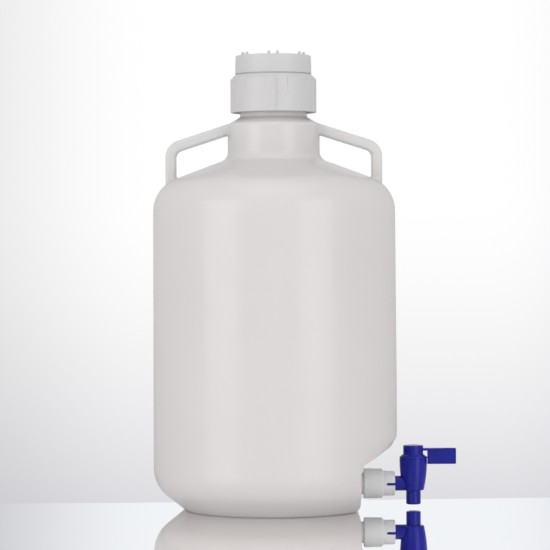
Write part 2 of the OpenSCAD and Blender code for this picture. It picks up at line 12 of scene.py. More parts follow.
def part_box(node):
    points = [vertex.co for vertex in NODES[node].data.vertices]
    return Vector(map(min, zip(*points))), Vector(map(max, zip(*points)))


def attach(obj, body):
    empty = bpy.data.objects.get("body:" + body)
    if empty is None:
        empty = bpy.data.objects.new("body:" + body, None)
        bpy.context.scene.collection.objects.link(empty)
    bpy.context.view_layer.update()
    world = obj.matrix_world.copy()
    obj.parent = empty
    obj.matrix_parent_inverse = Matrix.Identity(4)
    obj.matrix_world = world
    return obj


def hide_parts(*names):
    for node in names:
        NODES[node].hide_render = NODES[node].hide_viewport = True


bl_info = {
    "name": "Carboy with Tap",
    "version": (1, 0, 0),
    "blender": (4, 5, 0),
    "location": "3D View > Sidebar > Carboy",
    "description": "Builds a plastic carboy with handles, a screw closure and a lever tap",
    "category": "Object",
}

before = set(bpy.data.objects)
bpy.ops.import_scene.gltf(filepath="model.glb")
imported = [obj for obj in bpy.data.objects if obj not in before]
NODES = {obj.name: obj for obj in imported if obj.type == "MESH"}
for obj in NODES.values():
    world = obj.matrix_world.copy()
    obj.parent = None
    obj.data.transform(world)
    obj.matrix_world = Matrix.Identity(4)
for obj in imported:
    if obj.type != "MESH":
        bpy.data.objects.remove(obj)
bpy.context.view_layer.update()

MM = 0.001
CONE_SLOPE = math.radians(20.5)
COLLAR_H = 40 * MM
COLLAR_EDGE = 5 * MM
SHOULDER_BEND = 41 * MM
NECK_THREAD = {"lead": 6 * MM, "turns": 2.0, "half_root": 1.4 * MM, "half_tip": 0.7 * MM}
OUTLET_THREAD = {"lead": 3 * MM, "turns": 3.0, "half_root": 0.8 * MM, "half_tip": 0.35 * MM}


def top_of(node):
    """Height of a node's top, in metres."""
    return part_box(node)[1][2]


def foot_of(node):
    """Height of a node's foot, in metres."""
    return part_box(node)[0][2]


RIM_Z = top_of("bottle")
RING_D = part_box("closure_ring")[1][0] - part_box("closure_ring")[0][0]
RING_TOP = top_of("closure_ring")
RING_FOOT = foot_of("closure_ring")
FLAT_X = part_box("outlet_gasket")[0][0]


# Sizes and colours


class CarboyBottle(bpy.types.PropertyGroup):
    """Sizes and colour of the blow-moulded bottle."""

    body_d: FloatProperty(
        name="Body diameter",
        description="Outer diameter of the body above its heel",
        default=0.2852,
        unit="LENGTH",
    )
    taper: FloatProperty(
        name="Taper",
        description="Narrowing of the body at its shoulder, on each side",
        default=0.0015,
        unit="LENGTH",
    )
    wall: FloatProperty(
        name="Wall",
        description="Thickness of the moulded wall",
        default=0.0036,
        unit="LENGTH",
    )
    shoulder_z: FloatProperty(
        name="Shoulder height",
        description="Height of the corner between wall and shoulder",
        default=0.376,
        unit="LENGTH",
    )
    collar_d: FloatProperty(
        name="Collar diameter",
        description="Diameter of the collar between shoulder and neck",
        default=0.1072,
        unit="LENGTH",
    )
    neck_d: FloatProperty(
        name="Neck diameter",
        description="Root diameter of the threaded neck",
        default=0.0782,
        unit="LENGTH",
    )
    edge_blend: FloatProperty(
        name="Recess edge",
        description="Softness of the recess's moulded edges",
        default=0.0024,
        unit="LENGTH",
    )
    colour: FloatVectorProperty(
        name="Plastic",
        description="Colour of the milky plastic",
        default=(0.80, 0.775, 0.78),
        subtype="COLOR",
        min=0.0,
        max=1.0,
    )
    glow: FloatProperty(
        name="Translucency",
        description="Share of the light that passes through the wall",
        default=0.3,
        min=0.0,
        max=1.0,
        subtype="FACTOR",
    )


class CarboyHandles(bpy.types.PropertyGroup):
    """Sizes and colour of the two lifting handles."""

    width: FloatProperty(
        name="Width",
        description="Width of a handle across the pull",
        default=0.026,
        unit="LENGTH",
    )
    thickness: FloatProperty(
        name="Thickness",
        description="Thickness of a handle's bar and leg",
        default=0.0122,
        unit="LENGTH",
    )
    edge: FloatProperty(
        name="Edge",
        description="Radius of a handle's edges",
        default=0.0038,
        unit="LENGTH",
    )
    weld: FloatProperty(
        name="Weld",
        description="Radius where a handle meets the bottle",
        default=0.003,
        unit="LENGTH",
    )
    colour: FloatVectorProperty(
        name="Plastic",
        description="Colour of the handles' plastic",
        default=(0.79, 0.79, 0.785),
        subtype="COLOR",
        min=0.0,
        max=1.0,
    )


class CarboyClosure(bpy.types.PropertyGroup):
    """Sizes and colour of the screw closure."""

    ring_d: FloatProperty(
        name="Ring diameter",
        description="Outer diameter of the ribbed ring",
        default=RING_D,
        unit="LENGTH",
    )
    grip_turn: FloatProperty(
        name="First groove",
        description="Turn from the front to the first long groove",
        default=math.radians(4.4),
        subtype="ANGLE",
    )
    groove_depth: FloatProperty(
        name="Groove depth",
        description="Depth of the long grooves",
        default=0.0011,
        unit="LENGTH",
    )
    nub_pairs: IntProperty(
        name="Nub pairs",
        description="Pairs of nubs on the lid",
        default=6,
        min=1,
        max=12,
    )
    colour: FloatVectorProperty(
        name="Plastic",
        description="Colour of the closure's plastic",
        default=(0.735, 0.73, 0.745),
        subtype="COLOR",
        min=0.0,
        max=1.0,
    )


class CarboyTap(bpy.types.PropertyGroup):
    """Colours of the outlet and the tap."""

    blue: FloatVectorProperty(
        name="Tap",
        description="Colour of the tap's plastic",
        default=(0.009, 0.012, 0.26),
        subtype="COLOR",
        min=0.0,
        max=1.0,
    )
    nut: FloatVectorProperty(
        name="Nut",
        description="Colour of the outlet's nut",
        default=(0.88, 0.89, 0.90),
        subtype="COLOR",
        min=0.0,
        max=1.0,
    )
    gasket: FloatVectorProperty(
        name="Gasket",
        description="Colour of the outlet's gasket",
        default=(0.93, 0.94, 0.94),
        subtype="COLOR",
        min=0.0,
        max=1.0,
    )


class CarboyStage(bpy.types.PropertyGroup):
    """The table top, the light and the camera."""

    camera_distance: FloatProperty(
        name="Camera distance",
        description="Distance from the camera to the bottle's axis",
        default=2.95,
        unit="LENGTH",
    )
    camera_height: FloatProperty(
        name="Camera height",
        description="Height of the camera above the table",
        default=0.3095,
        unit="LENGTH",
    )
    sky: FloatProperty(
        name="Room light",
        description="Strength of the even light from all sides",
        default=0.76,
        min=0.0,
    )
    softboxes: FloatProperty(
        name="Softboxes",
        description="Strength of the softboxes, as a share of their full power",
        default=1.0,
        min=0.0,
    )


# Outline of the table's top: its far edge is seen a little higher at the left
TABLE_CORNERS = (
    (-1.3, -1.5),
    (1.3, -1.5),
    (1.3, 0.167),
    (0.315, 0.1038),
    (0.193, 0.0958),
    (0.113, 0.090),
    (0.095, 0.125),
    (-0.095, 0.125),
    (-0.113, 0.0768),
    (-0.174, 0.0732),
    (-0.31, 0.0745),
    (-1.3, 0.072),
)

# Shapes


def turned(v, angle):
    """A pair turned to the left by an angle."""
    c, s = math.cos(angle), math.sin(angle)
    return np.array([v[0] * c - v[1] * s, v[0] * s + v[1] * c])


def corner_arc(p, d1, d2, radius, step):
    """Points of the arc that rounds off corner p between directions d1 and d2."""
    turn = math.atan2(d1[0] * d2[1] - d1[1] * d2[0], float(d1 @ d2))
    if radius <= 0 or abs(turn) < 1e-6:
        return [p]
    start = p - radius * math.tan(abs(turn) / 2) * d1
    centre = start + math.copysign(radius, turn) * np.array([-d1[1], d1[0]])
    steps = max(2, math.ceil(abs(turn) / step))
    return [centre + turned(start - centre, turn * i / steps) for i in range(steps + 1)]


def rounded_path(corners, inset=0.0, step=math.radians(5), least=0.4 * MM, closed=False):
    """A path through corners (x, y, radius), moved to its left by inset, with round corners."""
    at = [np.array(c[:2], float) for c in corners]
    count = len(at)
    legs = count if closed else count - 1
    way = [at[(i + 1) % count] - at[i] for i in range(legs)]
    way = [w / np.linalg.norm(w) for w in way]
    left = [np.array([-w[1], w[0]]) for w in way]
    path = [] if closed else [at[0] + inset * left[0]]
    for i in range(0 if closed else 1, count if closed else count - 1):
        a, b = left[i - 1], left[i]
        p = at[i] + inset * (a + b) / (1 + float(a @ b))
        side = way[i - 1][0] * way[i][1] - way[i - 1][1] * way[i][0]
        radius = corners[i][2]
        if radius > 0 and inset:
            radius = max(least, radius - math.copysign(inset, side))
        path += corner_arc(p, way[i - 1], way[i], radius, step)
    if not closed:
        path.append(at[-1] + inset * left[-1])
    return np.array(path)


def spaced(path, longest):
    """The path with points added so that no step is longer than longest(height)."""
    points = [path[0]]
    for a, b in zip(path[:-1], path[1:]):
        steps = max(1, math.ceil(np.linalg.norm(b - a) / longest((a[1] + b[1]) / 2)))
        points += [a + (b - a) * i / steps for i in range(1, steps + 1)]
    return np.array(points)


def link_mesh(name, points, faces, sharp=None):
    """A new object from points and faces, with its faces turned outwards and shaded smooth."""
    mesh = bpy.data.meshes.new(name)
    shell = bmesh.new()
    corners = [shell.verts.new(p) for p in points]
    for face in faces:
        shell.faces.new([corners[i] for i in face])
    bmesh.ops.remove_doubles(shell, verts=shell.verts, dist=1e-6)
    bmesh.ops.recalc_face_normals(shell, faces=shell.faces)
    shell.to_mesh(mesh)
    shell.free()
    mesh.shade_smooth()
    if sharp:
        mesh.set_sharp_from_angle(angle=math.radians(sharp))
    piece = bpy.data.objects.new(name, mesh)
    bpy.context.scene.collection.objects.link(piece)
    return piece


def skin(grid, closed=False):
    """Points and faces of rows of points: each row is a loop, and the ends meet or are capped."""
    grid = np.asarray(grid)
    rows, columns = grid.shape[:2]
    points = [tuple(p) for p in grid.reshape(-1, 3)]
    faces = []
    for i in range(rows if closed else rows - 1):
        k = (i + 1) % rows
        for j in range(columns):
            m = (j + 1) % columns
            faces.append((i * columns + j, i * columns + m, k * columns + m, k * columns + j))
    if not closed:
        for row in (0, rows - 1):
            points.append(tuple(grid[row].mean(0)))
            middle = len(points) - 1
            for j in range(columns):
                faces.append((row * columns + j, row * columns + (j + 1) % columns, middle))
    return points, faces


def joined(*parts):
    """One list of points and one of faces from several."""
    points, faces = [], []
    for part_points, part_faces in parts:
        base = len(points)
        points += part_points
        faces += [tuple(base + i for i in face) for face in part_faces]
    return points, faces


def turned_rows(path, angles, radius=None):
    """Rows of a turned shape from a path of (radius, height).

    radius may change each point, and angles may be a function of radius and height.
    """
    rows = []
    for r, z in path:
        turn = np.asarray(angles(r, z) if callable(angles) else angles)
        reach = np.full(len(turn), r) if radius is None else radius(r, z, turn)
        height = np.full(len(turn), z)
        rows.append(np.stack([reach * np.cos(turn), reach * np.sin(turn), height], 1))
    return np.array(rows)


def even_turn(count):
    """Angles round a full turn."""
    return np.arange(count) * 2 * math.pi / count


def helix_ridge(root, tip, start, lead, turns, half_root, half_tip, fade=30.0, step=6.0):
    """A right-handed thread's ridge from radius root to radius tip, with ends that run out."""
    side = math.copysign(1.0, tip - root)
    rows = []
    for i in range(int(turns * 360 / step) + 1):
        angle = i * step
        grow = min(1.0, 0.12 + min(angle, turns * 360 - angle) / fade)
        reach = root + (tip - root) * grow
        z = start + lead * angle / 360
        soft = (half_root - half_tip) * 0.25
        section = [
            (root - side * 0.5 * MM, z - half_root),
            (root + (reach - root) * 0.15, z - half_root + soft),
            (root + (reach - root) * 0.85, z - half_tip - soft * 0.4),
            (reach, z - half_tip * 0.55),
            (reach, z + half_tip * 0.55),
            (root + (reach - root) * 0.85, z + half_tip + soft * 0.4),
            (root + (reach - root) * 0.15, z + half_root - soft),
            (root - side * 0.5 * MM, z + half_root),
        ]
        turn = math.radians(angle)
        rows.append([(r * math.cos(turn), r * math.sin(turn), h) for r, h in section])
    return skin(rows)


def blended(a, b, soft):
    """The greater of two distances, with the edge between them rounded over."""
    near_both = np.maximum(soft - np.abs(a - b), 0) / soft
    return np.maximum(a, b) + near_both**2 * soft / 4


def cone_height(bottle, r):
    """Height of the shoulder's cone at radius r."""
    return bottle.shoulder_z + (bottle.body_d / 2 - bottle.taper - r) * math.tan(CONE_SLOPE)


def block(x0, x1, y0, y1, z0, z1, turn=0.0):
    """Points and faces of a block, turned about the upright axis."""
    points = []
    for z in (z0, z1):
        for x, y in ((x0, y0), (x1, y0), (x1, y1), (x0, y1)):
            p = turned((x, y), turn)
            points.append((p[0], p[1], z))
    faces = [(0, 1, 2, 3), (4, 5, 6, 7), (0, 1, 5, 4), (1, 2, 6, 5), (2, 3, 7, 6), (3, 0, 4, 7)]
    return points, faces


# Finishes


class Nodes:
    """A node tree under construction, with short ways to add and join its nodes."""

    def __init__(self, owner):
        owner.use_nodes = True
        self.tree = owner.node_tree
        self.tree.nodes.clear()

    def add(self, kind, **values):
        """A node of one kind, with values set on its sockets or on itself."""
        node = self.tree.nodes.new(kind)
        for key, value in values.items():
            label = key.replace("_", " ")
            if label in node.inputs:
                node.inputs[label].default_value = value
            else:
                setattr(node, key, value)
        return node

    def join(self, source, target):
        """Joins an output to an input."""
        self.tree.links.new(source, target)

    def feed(self, socket, value):
        """Gives an input its value, which may be an output, a colour or a number."""
        if isinstance(value, bpy.types.NodeSocket):
            self.join(value, socket)
        elif isinstance(value, tuple):
            socket.default_value = (*value[:3], 1.0)
        else:
            socket.default_value = value

    def maths(self, operation, *values):
        """The result of one operation on values."""
        node = self.add("ShaderNodeMath", operation=operation)
        for socket, value in zip(node.inputs, values):
            self.feed(socket, value)
        return node.outputs["Value"]

    def ranged(self, value, low, high, start=0.3, end=0.7, shape="LINEAR"):
        """A value spread from low to high."""
        node = self.add("ShaderNodeMapRange", interpolation_type=shape)
        node.inputs["From Min"].default_value = start
        node.inputs["From Max"].default_value = end
        node.inputs["To Min"].default_value = low
        node.inputs["To Max"].default_value = high
        self.join(value, node.inputs["Value"])
        return node.outputs["Result"]

    def tint(self, factor, a, b, blend="MIX"):
        """A colour between a and b, or a blended with b by a factor."""
        node = self.add("ShaderNodeMix", data_type="RGBA", blend_type=blend)
        self.feed(node.inputs["Factor"], factor)
        self.feed(node.inputs[6], a)
        self.feed(node.inputs[7], b)
        return node.outputs[2]

    def mixed(self, factor, a, b):
        """A shader mixed from two."""
        node = self.add("ShaderNodeMixShader")
        self.feed(node.inputs["Fac"], factor)
        self.join(a, node.inputs[1])
        self.join(b, node.inputs[2])
        return node.outputs["Shader"]


class Finish(Nodes):
    """A material under construction, placed in the object's own frame."""

    def __init__(self, name):
        self.material = bpy.data.materials.new(name)
        super().__init__(self.material)
        self.out = self.add("ShaderNodeOutputMaterial")
        self.place = self.add("ShaderNodeTexCoord").outputs["Object"]

    def noise(self, scale, detail=3.0, rough=0.55, stretch=None):
        """Noise in the object's own frame, at so many features a metre."""
        texture = self.add("ShaderNodeTexNoise", Scale=scale, Detail=detail, Roughness=rough)
        place = self.place
        if stretch:
            mapping = self.add("ShaderNodeMapping")
            mapping.inputs["Scale"].default_value = stretch
            self.join(place, mapping.inputs["Vector"])
            place = mapping.outputs["Vector"]
        self.join(place, texture.inputs["Vector"])
        return texture.outputs["Fac"]

    def bumps(self, *layers):
        """Stacked bumps from (height, strength, distance)."""
        normal = None
        for height, strength, distance in layers:
            node = self.add("ShaderNodeBump", Strength=strength, Distance=distance)
            self.join(height, node.inputs["Height"])
            if normal:
                self.join(normal, node.inputs["Normal"])
            normal = node.outputs["Normal"]
        return normal


def shade(colour, factor):
    """A colour made lighter or darker."""
    return tuple(min(1.0, c * factor) for c in colour[:3])


def moulded_plastic(name, colour, rough, grain, drift, specular):
    """Moulded plastic with a fine skin, slow drifts of tone and slightly uneven gloss."""
    f = Finish(name)
    base = f.add("ShaderNodeBsdfPrincipled")
    slow = f.noise(14.0, 2.0)
    flow = f.noise(60.0, 3.0, stretch=(1.0, 1.0, 0.25))
    tone = f.tint(f.ranged(slow, 0.0, 1.0), shade(colour, 1 - drift), shade(colour, 1 + drift))
    tone = f.tint(f.ranged(flow, 0.0, 0.35), tone, shade(colour, 1 - 1.6 * drift))
    f.join(tone, base.inputs["Base Color"])
    f.join(f.ranged(f.noise(220.0, 4.0), *rough), base.inputs["Roughness"])
    skin_bump = f.bumps(
        (f.noise(26.0, 2.0), 0.25, 0.0009),
        (f.noise(1400.0, 2.0), grain, 0.00008),
    )
    f.join(skin_bump, base.inputs["Normal"])
    base.inputs["Specular IOR Level"].default_value = specular
    f.join(base.outputs["BSDF"], f.out.inputs["Surface"])
    return f.material


def milky_plastic(name, colour, glow, rough=(0.18, 0.26)):
    """Natural polyethylene: light passes through its wall, and its skin has a soft sheen."""
    f = Finish(name)
    base = f.add("ShaderNodeBsdfPrincipled")
    through = f.add("ShaderNodeBsdfTranslucent")
    slow = f.noise(5.0, 3.0, stretch=(1.0, 1.0, 0.5))
    tone = f.tint(f.ranged(slow, 0.0, 1.0), shade(colour, 0.975), shade(colour, 1.02))
    f.join(tone, base.inputs["Base Color"])
    f.join(tone, through.inputs["Color"])
    f.join(f.ranged(f.noise(90.0, 4.0), *rough), base.inputs["Roughness"])
    skin_bump = f.bumps(
        (f.noise(9.0, 2.0), 0.3, 0.0016),
        (f.noise(900.0, 3.0), 0.08, 0.0001),
    )
    f.join(skin_bump, base.inputs["Normal"])
    f.join(skin_bump, through.inputs["Normal"])
    wall = f.mixed(glow, base.outputs["BSDF"], through.outputs["BSDF"])
    f.join(wall, f.out.inputs["Surface"])
    return f.material


def rubber(name, colour, rough=(0.6, 0.78)):
    """Matt rubber with a fine speckle."""
    f = Finish(name)
    base = f.add("ShaderNodeBsdfPrincipled")
    speck = f.noise(1600.0, 4.0)
    tone = f.tint(f.ranged(speck, 0.0, 1.0), shade(colour, 0.82), shade(colour, 1.2))
    f.join(tone, base.inputs["Base Color"])
    f.join(f.ranged(f.noise(300.0), *rough), base.inputs["Roughness"])
    f.join(f.bumps((speck, 0.35, 0.00008)), base.inputs["Normal"])
    f.join(base.outputs["BSDF"], f.out.inputs["Surface"])
    return f.material


def dress(node, material):
    """Gives a node of the frame one material."""
    mesh = NODES[node].data
    mesh.materials.clear()
    mesh.materials.append(material)
    mesh.polygons.foreach_set("material_index", [0] * len(mesh.polygons))


def finish_piece(piece, material, body, slot, *nodes):
    """Gives a new piece its material and its body, and hides the nodes that it stands for; slot is
    not used.
    """
    piece.data.materials.append(material)
    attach(piece, body)
    if nodes:
        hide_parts(*nodes)


# Operators


class CARBOY_OT_bottle(bpy.types.Operator):
    """Blow-moulded bottle with its neck's thread and the outlet's boss"""

    bl_idname = "carboy.bottle"
    bl_label = "Bottle"

    def execute(self, context):
        size = context.scene.carboy_bottle
        body_r, collar_r, neck_r = size.body_d / 2, size.collar_d / 2, size.neck_d / 2
        shoulder_r = body_r - size.taper
        foot_r, slope = 106 * MM, math.radians(39)
        collar_foot = cone_height(size, collar_r)
        collar_top = collar_foot + COLLAR_H
        neck_foot = collar_top + (collar_r - neck_r) * math.tan(math.radians(30.4))
        corners = [
            (0, 5 * MM, 0),
            (foot_r - 24 * MM, 5 * MM, 5 * MM),
            (foot_r - 16 * MM, 0, 4.2 * MM),
            (foot_r, 0, 5 * MM),
            (body_r, (body_r - foot_r) * math.tan(slope), 40 * MM),
            (shoulder_r, size.shoulder_z, SHOULDER_BEND),
            (collar_r, collar_foot, 12 * MM),
            (collar_r, collar_top, COLLAR_EDGE),
            (neck_r, neck_foot, 1.8 * MM),
            (neck_r, RIM_Z - 0.8 * MM, 0),
        ]

        def longest(z):
            if z > 110 * MM:
                return 9 * MM
            return 0.8 * MM if z > 48 * MM else 1.6 * MM

        outside = spaced(rounded_path(corners, 0.0, math.radians(4)), longest)
        inside = spaced(rounded_path(corners, size.wall, math.radians(8)), longest)[::-1]
        bore = neck_r - size.wall
        rim = np.array([(neck_r - 0.25 * MM, RIM_Z - 0.2 * MM), (neck_r - 0.8 * MM, RIM_Z)])
        lip = np.array([(bore + 0.8 * MM, RIM_Z), (bore + 0.25 * MM, RIM_Z - 0.2 * MM)])
        lean = math.radians(27.7)

        def beyond(x, z, shift):
            """How far a point lies in the recess."""
            flat = x - FLAT_X + shift
            heel = (x - FLAT_X - z + 4.8 * MM) * math.sqrt(0.5) + shift
            ceiling = (x - FLAT_X) * math.sin(lean) - (z - 56.6 * MM) * math.cos(lean) + shift
            above = x - body_r - 0.4 * MM + shift
            floor = blended(flat, heel, 2.75 * MM)
            roof = blended(ceiling, above, 9.5 * MM)
            return -blended(-floor, -roof, 4.65 * MM)

        def pulled_in(shift):
            def radius(r, z, turn):
                if r < 60 * MM or z > 130 * MM:
                    return np.full(len(turn), r)
                low, high = np.zeros(len(turn)), np.full(len(turn), r)
                for _ in range(34):
                    middle = (low + high) / 2
                    cut = beyond(middle * np.cos(turn), z, shift)
                    outside_it = blended(middle - r, cut, size.edge_blend) > 0
                    high = np.where(outside_it, middle, high)
                    low = np.where(outside_it, low, middle)
                return (low + high) / 2

            return radius

        def columns(shift):
            """Angles whose columns follow the recess's edge up the wall."""
            least = math.radians(3)

            def turns(r, z):
                low, high = 80 * MM, 160 * MM
                for _ in range(30):
                    middle = (low + high) / 2
                    low, high = (low, middle) if beyond(middle, z, shift) > 0 else (middle, high)
                edge = math.acos(min(1.0, low / r)) if z < 88 * MM and r > low else 0.0
                fan = min(1.0, max(0.0, (z - 88 * MM) / (22 * MM)))
                edge = max(edge, least + math.radians(27) * fan)
                band = min(math.radians(1.6), 0.45 * edge)
                half = np.concatenate(
                    [
                        np.linspace(0, edge - band, 26),
                        np.linspace(edge - band, edge + band, 10)[1:],
                        np.linspace(edge + band, math.radians(75), 24)[1:],
                    ]
                )
                far = np.radians(np.linspace(75, 285, 90))[1:-1]
                return np.concatenate([half, far, 2 * math.pi - half[:0:-1]])

            return turns

        outer_turns, inner_turns = columns(0.0), columns(size.wall)
        grid = np.concatenate(
            [
                turned_rows(outside[1:], outer_turns, pulled_in(0.0)),
                turned_rows(rim, outer_turns),
                turned_rows(lip, inner_turns),
                turned_rows(inside[:-1], inner_turns, pulled_in(size.wall)),
            ]
        )
        shell = link_mesh("bottle_shell", *skin(grid))
        plastic = milky_plastic("milky_polyethylene", tuple(size.colour), size.glow)
        finish_piece(shell, plastic, "carboy", "bottle_plastic", "bottle")

        ridge = helix_ridge(neck_r, neck_r + 2.4 * MM, RIM_Z - 20 * MM, **NECK_THREAD)
        thread = link_mesh("neck_thread", *ridge)
        finish_piece(thread, plastic, "carboy", "bottle_plastic")

        boss_bore, boss_r = 6.6 * MM, 11.2 * MM
        boss = rounded_path(
            [
                (boss_bore, FLAT_X - 3 * MM, 0.3 * MM),
                (boss_r, FLAT_X - 3 * MM, 0.3 * MM),
                (boss_r, FLAT_X + 21.5 * MM, 0.6 * MM),
                (boss_bore, FLAT_X + 21.5 * MM, 0.3 * MM),
            ],
            closed=True,
        )
        tube = skin(turned_rows(boss, even_turn(72)), closed=True)
        ridge = helix_ridge(boss_r, 12.3 * MM, FLAT_X + 11.5 * MM, step=8.0, **OUTLET_THREAD)
        outlet = link_mesh("outlet_boss", *joined(tube, ridge))
        lay_along_x(outlet)
        finish_piece(outlet, plastic, "carboy", "bottle_plastic")
        return {"FINISHED"}


def outlet_height():
    """Height of the outlet's axis."""
    low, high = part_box("outlet_gasket")
    return (low[2] + high[2]) / 2


def lay_along_x(piece):
    """Lays a piece that was turned about the upright axis along the outlet's axis."""
    rows = ((0, 0, 1, 0), (0, 1, 0, 0), (-1, 0, 0, outlet_height()), (0, 0, 0, 1))
    piece.data.transform(Matrix(rows))


class CARBOY_OT_handles(bpy.types.Operator):
    """Two lifting handles, welded to the collar and the shoulder"""

    bl_idname = "carboy.handles"
    bl_label = "Handles"

    past_collar = 64 * MM
    sunk = 1.4 * MM

    def execute(self, context):
        bottle, size = context.scene.carboy_bottle, context.scene.carboy_handles
        collar_r, shoulder_r = bottle.collar_d / 2, bottle.body_d / 2 - bottle.taper
        collar_top = cone_height(bottle, collar_r) + COLLAR_H
        out_r = shoulder_r - 14.9 * MM
        slope = math.radians(17.9)
        corner_z = collar_top + 0.35 * MM - (out_r - collar_r) * math.tan(slope)
        half = size.thickness / 2
        start_x = collar_r - 12 * MM
        shift = half * (1 - math.sin(slope)) / math.cos(slope)
        middle = rounded_path(
            [
                (start_x, corner_z - shift + (out_r - half - start_x) * math.tan(slope), 0),
                (out_r - half, corner_z - shift, 15 * MM),
                (out_r - half, bottle.shoulder_z - 10 * MM, 0),
            ],
        )
        middle = spaced(middle, lambda z: 1.2 * MM)
        bend_r = shoulder_r - 40.88 * MM
        bend_z = bottle.shoulder_z - 28.49 * MM
        cone_foot_r = 114.58 * MM

        def shoulder_height(r):
            bend = bend_z + math.sqrt(max(0.0, SHOULDER_BEND**2 - (r - bend_r) ** 2))
            return cone_height(bottle, r) if r < cone_foot_r else bend

        collar = rounded_path(
            [
                (collar_r, collar_top - 60 * MM, 0),
                (collar_r, collar_top, COLLAR_EDGE),
                (bottle.neck_d / 2, collar_top + 8.51 * MM, 0),
            ]
        )

        def collar_radius(z):
            return float(np.interp(z, collar[:, 1], collar[:, 0]))

        rows = []
        for i, p in enumerate(middle):
            a, b = middle[max(0, i - 1)], middle[min(len(middle) - 1, i + 1)]
            way = (b - a) / np.linalg.norm(b - a)
            across = np.array([-way[1], way[0]])
            row = []
            for corner, (su, sv) in enumerate(((1, 1), (-1, 1), (-1, -1), (1, -1))):
                for k in range(7):
                    turn = math.radians(corner * 90 + k * 15)
                    gap = 1.0
                    for _ in range(3):
                        grow = self.fillet(gap, size.weld)
                        below = grow if su < 0 else 0.0
                        edge = size.edge + grow
                        u = su * (half + below - edge) + edge * math.cos(turn)
                        v = sv * (size.width / 2 + grow - edge) + edge * math.sin(turn)
                        x, z = p + across * u
                        r = math.hypot(x, v)
                        over = z - shoulder_height(r) if r > self.past_collar else 1.0
                        gap = max(min(r - collar_radius(z), over), 0.0)
                    row.append((x, v, z))
            rows.append(row)
        kept = self.above_surface(rows, collar_radius, shoulder_height)
        plastic = milky_plastic("handle_polyethylene", tuple(size.colour), 0.4, rough=(0.26, 0.36))
        for name, side in (("right_handle", 1), ("left_handle", -1)):
            grid = np.array(kept) * np.array([side, 1, 1])
            piece = link_mesh(f"{name}_form", *skin(grid))
            finish_piece(piece, plastic, "carboy", "handle_plastic", name)
        return {"FINISHED"}

    @staticmethod
    def fillet(gap, radius):
        """How far a section grows at a distance from the surface that it is welded to."""
        if gap >= radius:
            return 0.0
        return radius - math.sqrt(radius**2 - (radius - gap) ** 2)

    def above_surface(self, rows, collar_radius, shoulder_height):
        """The rows with their buried points brought up to just under the bottle's skin."""
        kept = []
        for row in rows:
            new, buried = [], 0
            for x, y, z in row:
                r = math.hypot(x, y)
                in_collar = r <= collar_radius(z) - self.sunk
                in_shoulder = r >= self.past_collar and z <= shoulder_height(r) - self.sunk
                buried += in_collar or in_shoulder
                if in_collar:
                    x = math.sqrt((collar_radius(z) - self.sunk) ** 2 - y * y)
                if in_shoulder:
                    z = shoulder_height(r) - self.sunk
                new.append((x, y, z))
            if buried < len(row):
                kept.append(new)
        return kept


